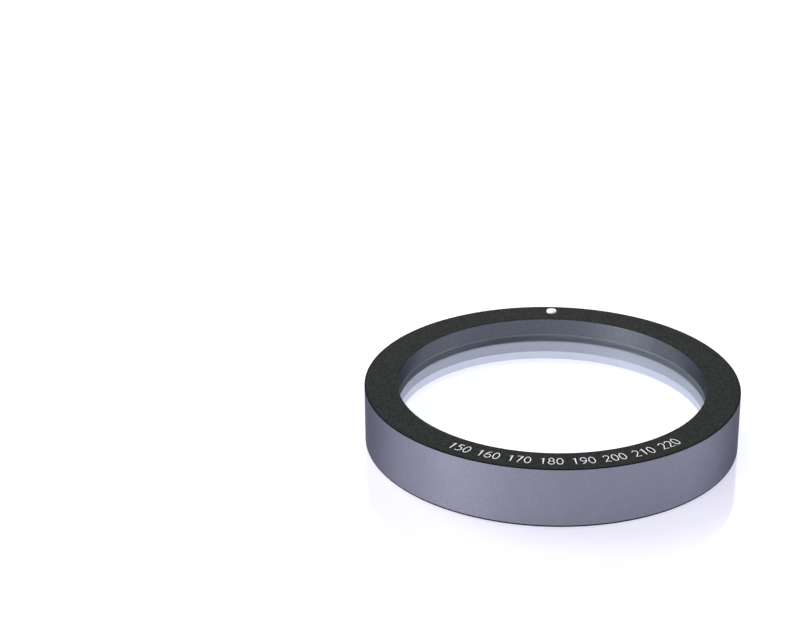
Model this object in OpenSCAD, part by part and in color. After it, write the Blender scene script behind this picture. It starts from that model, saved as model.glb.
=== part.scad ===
// Dual wavelength waveplate in a one-inch ring holder, lying on its back face with the marked face up.
// Millimetres. +Z is the optical axis, +Y runs through the axis mark, and the origin is the
// centre of the back face.

/* [Ring holder] */
// Outer diameter, the one-inch size that optic mounts take
ring_d = 25.4; // [12.7:0.1:50.8]
// Thickness of the front lip that the plate seats against
lip_t = 1.3; // [0.8:0.1:2]
// Wall between the rim and the retaining thread
wall_t = 1.2; // [0.8:0.05:2.5]
// Radial step from the retaining thread in to the plate's pocket
thread_step = 0.42; // [0.2:0.01:0.8]
// How far the threaded bore runs past the back of the plate, so that the plate is clamped first
thread_overrun = 0.2; // [0.1:0.05:0.5]
// Lead-in chamfer at the mouth of the retaining thread
mouth_chamfer = 0.15; // [0.05:0.05:0.25]
// Chamfer on the two outer edges
edge_chamfer = 0.05; // [0.02:0.01:0.3]
// Small edge break on both rims of the aperture
lip_break = 0.03; // [0.02:0.01:0.1]

/* [Waveplate] */
// Thickness of the crystalline quartz plate
plate_t = 1.3; // [0.8:0.05:2]
// Protective bevel on both edges of the plate
plate_bevel = 0.1; // [0.05:0.01:0.2]
// Radial clearance between the plate and its pocket
plate_clearance = 0.08; // [0.03:0.01:0.15]
// Width of the seat, from the edge of the plate in to the clear aperture
seat_w = 0.55; // [0.3:0.05:1.5]

/* [Gasket] */
// Thickness of the flat gasket under the plate
gasket_t = 0.06; // [0.05:0.01:0.3]
// Step by which the gasket's bore stands back from the aperture
gasket_setback = 0.05; // [0:0.01:0.15]

/* [Retaining ring] */
// Thickness of the retaining ring
retainer_t = 1.38; // [0.8:0.02:2]
// Radial clearance between the retaining ring and the threaded bore
thread_clearance = 0.04; // [0.02:0.01:0.08]
// Chamfer on the back edges of the retaining ring
retainer_chamfer = 0.05; // [0.03:0.01:0.2]
// Depth by which the retaining ring sits below the back face
back_recess = 0.02; // [0.02:0.01:0.2]
// Number of spanner slots, shared out evenly round the back of the ring
slot_count = 2; // [2:2:6]
// Width of a spanner slot
slot_w = 1.5; // [0.8:0.1:2]
// Depth of a spanner slot
slot_depth = 0.6; // [0.3:0.05:0.7]

/* [Axis mark] */
// Diameter of the dimple that holds the enamel
mark_d = 0.74; // [0.5:0.02:1]
// Distance from the outer edge of the front face to the middle of the mark
mark_inset = 0.93; // [0.7:0.01:1.1]
// Depth of the dimple
mark_depth = 0.2; // [0.1:0.05:0.5]
// Height by which the drop of enamel stands proud of the front face
mark_proud = 0.14; // [0.06:0.01:0.2]
// Radial clearance between the enamel and its dimple
mark_clearance = 0.01; // [0.005:0.005:0.02]

/* [Hidden] */
$fn = 192;

// Gap left between two flat faces that are clamped together
face_gap = 0.005;

// The stack, from the back face up to the front face
retainer_z = back_recess;
gasket_z = retainer_z + retainer_t + face_gap;
plate_z = gasket_z + gasket_t + face_gap;
seat_z = plate_z + plate_t + face_gap;
ring_h = seat_z + lip_t;

// Radii, from the rim in to the aperture
ring_r = ring_d / 2;
thread_r = ring_r - wall_t;
retainer_r = thread_r - thread_clearance;
pocket_r = thread_r - thread_step;
plate_r = pocket_r - plate_clearance;
aperture_r = plate_r - seat_w;

shoulder_z = plate_z + thread_overrun;
mark_y = ring_r - mark_inset;
mark_floor_z = ring_h - mark_depth;
mark_r = mark_d / 2 - mark_clearance;
mark_h = mark_depth - face_gap + mark_proud;
mark_edge = 0.05;

// Turned from one blank: front lip, plate pocket, threaded bore
module ring_holder() {
    color([0.2, 0.2, 0.24])
    difference() {
        rotate_extrude()
        polygon([
            [ring_r, edge_chamfer],
            [ring_r, ring_h - edge_chamfer],
            [ring_r - edge_chamfer, ring_h],
            [aperture_r + lip_break, ring_h],
            [aperture_r, ring_h - lip_break],
            [aperture_r, seat_z + lip_break],
            [aperture_r + lip_break, seat_z],
            [pocket_r, seat_z],
            [pocket_r, shoulder_z],
            [thread_r, shoulder_z],
            [thread_r, mouth_chamfer],
            [thread_r + mouth_chamfer, 0],
            [ring_r - edge_chamfer, 0]
        ]);
        translate([0, mark_y, mark_floor_z])
        cylinder(r = mark_d / 2, h = mark_depth + 1);
    }
}

// One polished plate with a bevel on each edge
module waveplate() {
    color([0.9, 0.96, 1, 0.35])
    translate([0, 0, plate_z])
    rotate_extrude()
    polygon([
        [0, 0],
        [plate_r - plate_bevel, 0],
        [plate_r, plate_bevel],
        [plate_r, plate_t - plate_bevel],
        [plate_r - plate_bevel, plate_t],
        [0, plate_t]
    ]);
}

// Flat black washer that spreads the load of the retaining ring
module gasket() {
    color([0.06, 0.06, 0.07])
    translate([0, 0, gasket_z])
    difference() {
        cylinder(r = plate_r, h = gasket_t);
        translate([0, 0, -1])
        cylinder(r = aperture_r + gasket_setback, h = gasket_t + 2);
    }
}

// One straight slot from the bore to the outside, open at the back
module spanner_slot() {
    translate([aperture_r - 1, -slot_w / 2, retainer_z - 1])
    cube([retainer_r - aperture_r + 2, slot_w, slot_depth + 1]);
}

// Screwed in from the back with a two-pin spanner
module retaining_ring() {
    color([0.78, 0.79, 0.82])
    difference() {
        translate([0, 0, retainer_z])
        rotate_extrude()
        polygon([
            [aperture_r, retainer_chamfer],
            [aperture_r + retainer_chamfer, 0],
            [retainer_r - retainer_chamfer, 0],
            [retainer_r, retainer_chamfer],
            [retainer_r, retainer_t],
            [aperture_r, retainer_t]
        ]);
        for (i = [0 : slot_count - 1])
            rotate([0, 0, i * 360 / slot_count])
            spanner_slot();
    }
}

// Drop of white enamel that fills the dimple and stands a little proud of the front face
module fast_axis_mark() {
    color("white")
    translate([0, mark_y, mark_floor_z + face_gap])
    rotate_extrude($fn = 48)
    polygon([
        [0, 0],
        [mark_r, 0],
        [mark_r, mark_h - mark_edge],
        [mark_r - mark_edge, mark_h],
        [0, mark_h]
    ]);
}

ring_holder();
waveplate();
gasket();
retaining_ring();
fast_axis_mark();
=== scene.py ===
"""Looks of a dual wavelength waveplate in a one-inch ring holder, which lies flat on a white table."""

import math

import bpy
from mathutils import Matrix, Vector


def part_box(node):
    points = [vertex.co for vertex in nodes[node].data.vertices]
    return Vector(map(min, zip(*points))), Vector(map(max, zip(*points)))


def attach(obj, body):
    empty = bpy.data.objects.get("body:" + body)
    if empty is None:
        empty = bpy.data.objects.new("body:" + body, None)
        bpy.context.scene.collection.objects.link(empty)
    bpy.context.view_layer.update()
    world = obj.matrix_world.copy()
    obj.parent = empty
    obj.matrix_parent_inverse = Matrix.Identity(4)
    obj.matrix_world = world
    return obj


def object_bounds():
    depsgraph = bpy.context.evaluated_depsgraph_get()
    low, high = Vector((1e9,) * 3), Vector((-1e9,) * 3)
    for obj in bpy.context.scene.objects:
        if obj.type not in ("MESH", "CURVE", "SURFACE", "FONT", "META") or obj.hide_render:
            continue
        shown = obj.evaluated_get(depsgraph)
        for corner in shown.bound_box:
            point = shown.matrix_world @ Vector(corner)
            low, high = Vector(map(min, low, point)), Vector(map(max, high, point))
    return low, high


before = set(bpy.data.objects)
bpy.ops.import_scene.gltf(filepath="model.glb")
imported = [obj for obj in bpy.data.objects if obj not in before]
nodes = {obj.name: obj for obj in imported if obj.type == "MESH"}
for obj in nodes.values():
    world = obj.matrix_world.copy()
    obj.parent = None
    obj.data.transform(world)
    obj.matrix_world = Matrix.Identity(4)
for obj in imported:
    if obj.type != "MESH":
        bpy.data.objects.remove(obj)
cad_low, cad_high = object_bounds()

MM = 0.001

# The object, read from the frame
RING_R = cad_high.x
RING_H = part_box("ring_holder")[1].z
PLATE_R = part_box("waveplate")[1].x
PLATE_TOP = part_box("waveplate")[1].z
PLATE_CLEARANCE = 0.08 * MM
POCKET_R = PLATE_R + PLATE_CLEARANCE

# Where one finish, painted shade or painted highlight gives way to the next: the two ends of a soft step in
# height or in radius
# The faces are black, and set darker than the satin walls as painted shade for a dark sky they would
# mirror; the black covers the top chamfer as a painted dark edge
FRONT_BLACK_AND_SHADE_Z = (RING_H - 0.05 * MM, RING_H - 0.04 * MM)
# The back face is black; the black also runs up the foot of the wall as a painted shadow, a dark band where
# the ring meets the table
BACK_BLACK_AND_SHADOW_Z = (0.1 * MM, 0.14 * MM)
# Painted shade: a near-black line on the front face just inside its outer edge
RIM_SHADE_R = (RING_R - 0.17 * MM, RING_R - 0.12 * MM)
# Painted shade: inside this radius the bore's wall takes a darker colour than the outer wall
BORE_R = (POCKET_R - 0.1 * MM, POCKET_R + 0.1 * MM)
# Painted highlight: a pale line at the foot of the lip's wall, where its edge would catch the light
SEAT_HIGHLIGHT_Z = (PLATE_TOP + 0.06 * MM, PLATE_TOP + 0.09 * MM)
PLATE_INK_R = (PLATE_R - 0.2 * MM, PLATE_R - 0.16 * MM)

# Colours, in pairs where a noise runs from the one to the other
WHITE = (1.0, 1.0, 1.0, 1)
SATIN_WALL = ((0.208, 0.209, 0.262, 1), (0.252, 0.253, 0.315, 1))
SATIN_CLOUD = (0.204, 0.205, 0.252, 1)
# Painted shade: the lip's wall in the bore, darker than the outer wall
LIP_WALL_SHADED = ((0.11, 0.121, 0.146, 1), (0.152, 0.164, 0.195, 1))
# Painted highlight at the foot of the lip
SEAT_HIGHLIGHT = (0.27, 0.285, 0.325, 1)
# The faces' black: the ring's own dark tone, made darker than the walls as painted shade
MATT_BLACK = ((0.005, 0.006, 0.004, 1), (0.0285, 0.0305, 0.027, 1))
# Painted shade along the outer edge of the front face
RIM_SHADE = (0.002, 0.002, 0.003, 1)
ANODISED_SHEEN = (0.19, 0.19, 0.2, 1)
CLEAR_QUARTZ = ((0.985, 0.995, 1.0, 1), WHITE)
PLATE_INK = (0.175, 0.208, 0.245, 1)
DARK_POLYMER = ((0.172, 0.207, 0.242, 1), (0.212, 0.251, 0.292, 1))
BARE_ALUMINIUM = ((0.435, 0.475, 0.545, 1), (0.505, 0.545, 0.605, 1))
ENAMEL = ((0.96, 0.96, 0.96, 1), WHITE)
TABLE_PAINT = ((0.61, 0.61, 0.59, 1), (0.63, 0.63, 0.61, 1))
TABLE_GLOW = (0.475, 0.465, 0.585, 1)

# The middle stretch of a noise, which holds most of its values
NOISE_RANGE = (0.3, 0.7)

# The photo's camera. Its place is given before the turn about the optical axis that sets where the mark is.
IMAGE_W_PX = 800
FOCAL_PX = 1928.0
SENSOR_MM = 36.0
CAMERA_PLACE = Vector((-10.223, -117.970, 60.815)) * MM
CAMERA_DOWN = math.radians(23.673)
CAMERA_ROLL = math.radians(-0.691)
CAMERA_NEAR = 1 * MM
CAMERA_FAR = 100.0
VIEW_TURN = math.radians(4.4)

# Angle numbers on the front face, each at its own angle from the axis mark, with their tops to the middle.
# The digit's width, the advance and the stroke are shares of the height of a digit.
NUMBERS = range(150, 221, 10)
NUMBER_BASE_R = 12.0 * MM
NUMBER_CAP = 0.86 * MM
NUMBER_ADVANCE = 0.64
NUMBER_STROKE = 0.067
NUMBER_PROUD = 0.004 * MM
DIGIT_W = 0.56

# The white table, just under the ring. Its glow is a little stronger where the plate shows it.
TABLE_HALF = 2.0
TABLE_DROP = 0.005 * MM
TABLE_SEEN_THROUGH_GLASS = 1.1


def make_camera():
    """The photo's view, with no depth of field."""
    data = bpy.data.cameras.new("camera")
    data.sensor_width = SENSOR_MM
    data.lens = FOCAL_PX * SENSOR_MM / IMAGE_W_PX
    data.clip_start = CAMERA_NEAR
    data.clip_end = CAMERA_FAR
    camera = bpy.data.objects.new("camera", data)
    bpy.context.scene.collection.objects.link(camera)
    camera.matrix_world = (
        Matrix.Rotation(VIEW_TURN, 4, "Z")
        @ Matrix.Translation(CAMERA_PLACE)
        @ Matrix.Rotation(math.pi / 2 - CAMERA_DOWN, 4, "X")
        @ Matrix.Rotation(CAMERA_ROLL, 4, "Z")
    )
    bpy.context.scene.camera = camera


class Nodes:
    """Short calls that add and join the nodes of one material or world."""

    def __init__(self, tree):
        tree.nodes.clear()
        self.tree = tree

    def add(self, kind, **settings):
        node = self.tree.nodes.new(kind)
        for name, value in settings.items():
            setattr(node, name, value)
        return node

    def put(self, socket, value):
        """Joins a socket to an output, or gives it a constant."""
        if isinstance(value, bpy.types.NodeSocket):
            self.tree.links.new(value, socket)
        else:
            socket.default_value = value

    def math(self, operation, a, b=None):
        node = self.add("ShaderNodeMath", operation=operation)
        self.put(node.inputs[0], a)
        if b is not None:
            self.put(node.inputs[1], b)
        return node.outputs[0]

    def vector(self, operation, a, b=None):
        node = self.add("ShaderNodeVectorMath", operation=operation)
        self.put(node.inputs[0], a)
        if b is not None:
            self.put(node.inputs[1], b)
        return node.outputs["Value" if operation in ("DOT_PRODUCT", "LENGTH") else "Vector"]

    def ramp(self, value, low, high, to_low=0.0, to_high=1.0):
        """A smooth step from to_low at low to to_high at high."""
        node = self.add("ShaderNodeMapRange", interpolation_type="SMOOTHSTEP", clamp=True)
        self.put(node.inputs["Value"], value)
        self.put(node.inputs["From Min"], low)
        self.put(node.inputs["From Max"], high)
        self.put(node.inputs["To Min"], to_low)
        self.put(node.inputs["To Max"], to_high)
        return node.outputs["Result"]

    def spread(self, noise, low, high):
        """A noise whose middle stretch runs from low to high."""
        return self.ramp(noise, *NOISE_RANGE, low, high)

    def noise(self, place, per_mm, detail=2.0, roughness=0.5):
        """Noise with about per_mm spots to a millimetre."""
        node = self.add("ShaderNodeTexNoise")
        self.put(node.inputs["Vector"], place)
        node.inputs["Scale"].default_value = per_mm / MM
        node.inputs["Detail"].default_value = detail
        node.inputs["Roughness"].default_value = roughness
        return node.outputs["Fac"]

    def mix(self, share, a, b):
        """Colour a at share 0, colour b at share 1. The Mix node's colour sockets are 6 and 7."""
        node = self.add("ShaderNodeMix", data_type="RGBA")
        self.put(node.inputs[0], share)
        self.put(node.inputs[6], a)
        self.put(node.inputs[7], b)
        return node.outputs[2]

    def blend(self, share, a, b):
        """Number a at share 0, number b at share 1. The Mix node's number sockets are 2 and 3."""
        node = self.add("ShaderNodeMix", data_type="FLOAT")
        self.put(node.inputs[0], share)
        self.put(node.inputs[2], a)
        self.put(node.inputs[3], b)
        return node.outputs[0]

    def bump(self, height, depth):
        """A normal from a height of 0 to 1 that stands for depth in metres."""
        node = self.add("ShaderNodeBump")
        node.inputs["Strength"].default_value = 1.0
        node.inputs["Distance"].default_value = depth
        self.put(node.inputs["Height"], height)
        return node.outputs["Normal"]


def new_material(name):
    """An empty material: its nodes, its Principled shader and the place on the object."""
    material = bpy.data.materials.new(name)
    material.use_nodes = True
    make = Nodes(material.node_tree)
    shader = make.add("ShaderNodeBsdfPrincipled")
    output = make.add("ShaderNodeOutputMaterial")
    make.put(output.inputs["Surface"], shader.outputs[0])
    place = make.add("ShaderNodeTexCoord").outputs["Object"]
    return material, make, shader, place


def height_of(make, place):
    """The Z of a place or of a direction."""
    split = make.add("ShaderNodeSeparateXYZ")
    make.put(split.inputs[0], place)
    return split.outputs["Z"]


def radius_of(make, place):
    """Distance from the optical axis."""
    flat = make.vector("MULTIPLY", place, (1.0, 1.0, 0.0))
    return make.vector("LENGTH", flat)


def black_anodised():
    """Bead-blasted aluminium: both faces are dyed matt black, set darker than the walls as painted shade,
    and the walls keep a satin sheen. The darker bore wall and the dark lines along the outer edges are
    painted shade, and the pale line at the foot of the lip is a painted highlight.
    """
    material, make, shader, place = new_material("black_anodised")
    grain = make.noise(place, per_mm=8.5, detail=4.0, roughness=0.8)
    cloud = make.noise(place, per_mm=0.45, detail=3.0)
    speckle = make.ramp(grain, 0.38, 0.64)
    height = height_of(make, place)
    radius = radius_of(make, place)
    # The front face and its chamfer: the ring's black, and painted shade
    front = make.ramp(height, *FRONT_BLACK_AND_SHADE_Z)
    # The back face, and a painted shadow band up the foot of the wall
    back = make.ramp(height, *BACK_BLACK_AND_SHADOW_Z, 1.0, 0.0)
    matt = make.math("MAXIMUM", front, back)
    # Painted shade: a near-black line along the face's outer edge
    rim_shade = make.ramp(radius, *RIM_SHADE_R)
    bore = make.ramp(radius, *BORE_R, 1.0, 0.0)
    # Painted highlight: a pale line at the foot of the lip
    seat_highlight = make.ramp(height, *SEAT_HIGHLIGHT_Z, 1.0, 0.0)

    satin = make.mix(speckle, *SATIN_WALL)
    satin = make.mix(make.spread(cloud, 0.0, 0.25), satin, SATIN_CLOUD)
    # Painted shade: the bore's wall is darker than the outer wall
    inside_shaded = make.mix(speckle, *LIP_WALL_SHADED)
    inside_shaded = make.mix(seat_highlight, inside_shaded, SEAT_HIGHLIGHT)
    black = make.mix(speckle, *MATT_BLACK)
    black = make.mix(rim_shade, black, RIM_SHADE)
    colour = make.mix(matt, make.mix(bore, satin, inside_shaded), black)
    make.put(shader.inputs["Base Color"], colour)
    make.put(shader.inputs["Metallic"], make.math("SUBTRACT", 1.0, matt))

    satin_rough = make.spread(grain, 0.42, 0.48)
    matt_rough = make.spread(grain, 0.8, 0.7)
    make.put(shader.inputs["Roughness"], make.blend(matt, satin_rough, matt_rough))
    shader.inputs["Specular IOR Level"].default_value = 0.44
    shader.inputs["Specular Tint"].default_value = ANODISED_SHEEN
    make.put(shader.inputs["Normal"], make.bump(grain, depth=0.003 * MM))
    return material


def quartz():
    """Polished crystalline quartz with a blackened edge, which stops stray light."""
    material, make, shader, place = new_material("quartz")
    shader.inputs["IOR"].default_value = 1.544
    ink = make.ramp(radius_of(make, place), *PLATE_INK_R)
    make.put(shader.inputs["Transmission Weight"], make.math("SUBTRACT", 1.0, ink))
    haze = make.noise(place, per_mm=0.35, detail=3.0)
    polished = make.ramp(haze, 0.55, 0.8, 0.0, 0.01)
    make.put(shader.inputs["Roughness"], make.blend(ink, polished, 0.8))
    make.put(shader.inputs["Base Color"], make.mix(ink, make.mix(haze, *CLEAR_QUARTZ), PLATE_INK))
    ripple = make.math("MULTIPLY", make.noise(place, per_mm=3.0), ink)
    make.put(shader.inputs["Normal"], make.bump(ripple, depth=0.0005 * MM))
    return material


def gasket_polymer():
    """Matt dark polymer with a faint grain."""
    material, make, shader, place = new_material("gasket_polymer")
    grain = make.noise(place, per_mm=9.0, detail=3.0)
    make.put(shader.inputs["Base Color"], make.mix(grain, *DARK_POLYMER))
    make.put(shader.inputs["Roughness"], make.spread(grain, 0.85, 1.0))
    shader.inputs["Specular IOR Level"].default_value = 0.05
    make.put(shader.inputs["Normal"], make.bump(grain, depth=0.002 * MM))
    return material


def satin_aluminium():
    """Turned and satin-etched aluminium with fine tool lines round the axis."""
    material, make, shader, place = new_material("satin_aluminium")
    across = make.math("ADD", radius_of(make, place), height_of(make, place))
    lines = make.add("ShaderNodeCombineXYZ")
    make.put(lines.inputs["X"], across)
    turned = make.noise(lines.outputs[0], per_mm=22.0)
    grain = make.noise(place, per_mm=12.0)
    both = make.blend(0.4, turned, grain)
    make.put(shader.inputs["Base Color"], make.mix(both, *BARE_ALUMINIUM))
    shader.inputs["Metallic"].default_value = 1.0
    make.put(shader.inputs["Roughness"], make.spread(both, 0.34, 0.42))
    make.put(shader.inputs["Normal"], make.bump(both, depth=0.0015 * MM))
    return material


def white_enamel():
    """Satin white enamel with a slight mottle."""
    material, make, shader, place = new_material("white_enamel")
    mottle = make.noise(place, per_mm=8.0)
    make.put(shader.inputs["Base Color"], make.mix(mottle, *ENAMEL))
    make.put(shader.inputs["Roughness"], make.spread(mottle, 0.4, 0.5))
    make.put(shader.inputs["Normal"], make.bump(mottle, depth=0.002 * MM))
    return material


def dress(node, material):
    """Gives a CAD node its finish."""
    piece = nodes[node]
    piece.data.materials.clear()
    piece.data.materials.append(material)
    return piece


# Digits as strokes, in a cell one unit tall. The numbers use no 3 and no 4.
def arc(x, y, half_w, half_h, first, last, steps=20):
    """Points of an elliptical arc, with its first and last angle in degrees."""
    angles = [math.radians(first + (last - first) * i / steps) for i in range(steps + 1)]
    return [(x + half_w * math.cos(a), y + half_h * math.sin(a)) for a in angles]


def digit_strokes(digit):
    """The strokes of one digit, each a list of points."""
    if digit == "0":
        return [arc(0.28, 0.5, 0.23, 0.45, 0, 360)]
    if digit == "1":
        return [[(0.12, 0.77), (0.31, 0.95), (0.31, 0.05)]]
    if digit == "2":
        return [arc(0.27, 0.70, 0.21, 0.25, 165, -38) + [(0.07, 0.05), (0.51, 0.05)]]
    if digit == "5":
        return [[(0.46, 0.95), (0.14, 0.95), (0.11, 0.56)] + arc(0.24, 0.34, 0.25, 0.29, 118, -128)]
    if digit == "6":
        return [arc(0.28, 0.31, 0.23, 0.26, 0, 360), arc(0.46, 0.31, 0.41, 0.64, 95, 180)]
    if digit == "7":
        return [[(0.05, 0.95), (0.5, 0.95), (0.19, 0.05)]]
    if digit == "8":
        return [arc(0.28, 0.73, 0.185, 0.22, 0, 360), arc(0.28, 0.28, 0.23, 0.23, 0, 360)]
    if digit == "9":
        return [[(DIGIT_W - x, 1.0 - y) for x, y in stroke] for stroke in digit_strokes("6")]
    raise ValueError(digit)


def add_stroke(verts, faces, points, to_face):
    """A flat bar along the points, which to_face sets on the front face."""
    first = len(verts)
    closed = math.dist(points[0], points[-1]) < 1e-6
    for i, (x, y) in enumerate(points):
        before = points[i - 1] if i else (points[-2] if closed else points[0])
        after = points[i + 1] if i + 1 < len(points) else (points[1] if closed else points[-1])
        ahead = Vector((after[0] - before[0], after[1] - before[1])).normalized()
        leg = Vector((x - before[0], y - before[1])) if i else Vector((after[0] - x, after[1] - y))
        miter = 1.0 / max(0.5, abs(ahead.dot(leg.normalized())))
        side = Vector((-ahead.y, ahead.x)) * NUMBER_STROKE / 2 * miter
        for sign, height in ((1, 1.0), (-1, 1.0), (-1, 0.0), (1, 0.0)):
            verts.append(to_face(x + sign * side.x, y + sign * side.y, height))
    for i in range(len(points) - 1):
        for k in range(4):
            here = first + 4 * i
            faces.append((here + k, here + (k + 1) % 4, here + 4 + (k + 1) % 4, here + 4 + k))
    if not closed:
        last = first + 4 * (len(points) - 1)
        faces.append((first + 3, first + 2, first + 1, first))
        faces.append((last, last + 1, last + 2, last + 3))


def cell_on_face(number, column, columns):
    """The call that sets the cell of one digit of a number on the front face."""
    middle = math.radians(number - 270)
    left = (column - columns / 2) * NUMBER_ADVANCE + (NUMBER_ADVANCE - DIGIT_W) / 2

    def to_face(x, y, height):
        angle = middle + (left + x) * NUMBER_CAP / NUMBER_BASE_R
        radius = NUMBER_BASE_R - y * NUMBER_CAP
        return radius * math.cos(angle), radius * math.sin(angle), RING_H + height * NUMBER_PROUD

    return to_face


def make_numbers(material):
    """The row of angle numbers, as a thin print of white enamel."""
    verts, faces = [], []
    for number in NUMBERS:
        text = str(number)
        for column, digit in enumerate(text):
            to_face = cell_on_face(number, column, len(text))
            for stroke in digit_strokes(digit):
                add_stroke(verts, faces, stroke, to_face)
    mesh = bpy.data.meshes.new("angle_numbers")
    mesh.from_pydata(verts, [], faces)
    mesh.materials.append(material)
    numbers = bpy.data.objects.new("angle_numbers", mesh)
    bpy.context.scene.collection.objects.link(numbers)
    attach(numbers, "root")


# The studio. Azimuth 0 is straight ahead of the photo's camera and 90 is to its right.
# name: azimuth, elevation, half width, half height, softness, colour times strength
PANELS = {
    "left_flag": (-38, 20, 26, 28, 8, (0.02, 0.02, 0.02, 1)),
    "right_flag": (36, 20, 18, 28, 5, (0.02, 0.02, 0.02, 1)),
    "right_card": (82, 12, 28, 12, 6, (3.5, 3.5, 3.5, 1)),
    "side_box": (-121, 7, 15, 7, 4, (17.5, 17.5, 17.5, 1)),
    "key_box": (-48, 47, 18, 14, 6, (4.5, 4.5, 4.5, 1)),
    "front_box": (-150, 62, 34, 20, 8, (1.45, 1.45, 1.45, 1)),
    "back_card": (5, 28, 13, 11, 3, (1.95, 2.1, 2.45, 1)),
}
DOME = (0.25, 0.25, 0.27, 1)

# The height of a mirror direction at which the white backdrop starts to fade, and at which it ends
BACKDROP_TOP = math.sin(math.radians(26))
BACKDROP_END = math.sin(math.radians(48))


def direction(azimuth, elevation):
    """Unit vector in the frame of the part."""
    a, e = math.radians(azimuth), math.radians(elevation)
    ahead = Vector((math.sin(a) * math.cos(e), math.cos(a) * math.cos(e), math.sin(e)))
    return Matrix.Rotation(VIEW_TURN, 3, "Z") @ ahead


def softbox(make, way, azimuth, elevation, half_w, half_h, soft):
    """Share of a soft-edged bright panel, half_w and half_h degrees from its middle to its edges."""
    middle = direction(azimuth, elevation)
    side = direction(azimuth + 90, 0)
    above = side.cross(middle)
    # A direction that points away from the panel is held just in front of the eye, where off is far outside
    depth = make.math("MAXIMUM", make.vector("DOT_PRODUCT", way, tuple(middle)), 0.001)
    blur = math.tan(math.radians(soft))
    share = None
    for axis, half in ((side, half_w), (above, half_h)):
        off = make.math("DIVIDE", make.vector("DOT_PRODUCT", way, tuple(axis)), depth)
        edge = math.tan(math.radians(half))
        part = make.ramp(make.math("ABSOLUTE", off), edge - blur, edge + blur, 1.0, 0.0)
        share = part if share is None else make.math("MULTIPLY", share, part)
    return share


def make_world():
    """A dim dome with soft panels. Camera, glass and low mirror directions see a white backdrop."""
    world = bpy.data.worlds.new("studio")
    bpy.context.scene.world = world
    world.use_nodes = True
    make = Nodes(world.node_tree)
    way = make.add("ShaderNodeTexCoord").outputs["Generated"]
    path = make.add("ShaderNodeLightPath")
    low = make.ramp(height_of(make, way), BACKDROP_TOP, BACKDROP_END, 1.0, 0.0)
    mirrored = make.math("MULTIPLY", path.outputs["Is Glossy Ray"], low)
    light = make.mix(mirrored, DOME, WHITE)
    for azimuth, elevation, half_w, half_h, soft, colour in PANELS.values():
        share = softbox(make, way, azimuth, elevation, half_w, half_h, soft)
        light = make.mix(share, light, colour)
    seen = make.math("MAXIMUM", path.outputs["Is Camera Ray"], path.outputs["Is Transmission Ray"])
    back = make.add("ShaderNodeBackground")
    make.put(back.inputs["Color"], make.mix(seen, light, WHITE))
    output = make.add("ShaderNodeOutputWorld")
    make.put(output.inputs["Surface"], back.outputs[0])


def table_white():
    """Pale glossy paint: white in the light, and lavender in the shadow and mirror image of the ring."""
    material, make, shader, place = new_material("table_white")
    grain = make.noise(place, per_mm=0.8)
    make.put(shader.inputs["Base Color"], make.mix(grain, *TABLE_PAINT))
    shader.inputs["Roughness"].default_value = 0.1
    shader.inputs["IOR"].default_value = 1.65
    path = make.add("ShaderNodeLightPath")
    seen = make.math("MAXIMUM", path.outputs["Is Camera Ray"], path.outputs["Is Glossy Ray"])
    through = make.math("MULTIPLY", path.outputs["Is Transmission Ray"], TABLE_SEEN_THROUGH_GLASS)
    shader.inputs["Emission Color"].default_value = TABLE_GLOW
    make.put(shader.inputs["Emission Strength"], make.math("MAXIMUM", seen, through))
    return material


def make_table():
    """A flat sheet under the ring, far wider than the view."""
    half = TABLE_HALF
    corners = [(x, y, -TABLE_DROP) for x, y in ((-half, -half), (half, -half), (half, half), (-half, half))]
    mesh = bpy.data.meshes.new("table")
    mesh.from_pydata(corners, [], [(0, 1, 2, 3)])
    mesh.materials.append(table_white())
    table = bpy.data.objects.new("table", mesh)
    bpy.context.scene.collection.objects.link(table)


make_camera()
make_world()
make_table()

enamel = white_enamel()
dress("ring_holder", black_anodised())
plate = dress("waveplate", quartz())
# Clear quartz lets the light through, so the plate throws no shadow
plate.visible_shadow = False
dress("gasket", gasket_polymer())
dress("retaining_ring", satin_aluminium())
dress("fast_axis_mark", enamel)
make_numbers(enamel)

bpy.context.scene.view_settings.view_transform = "Standard"
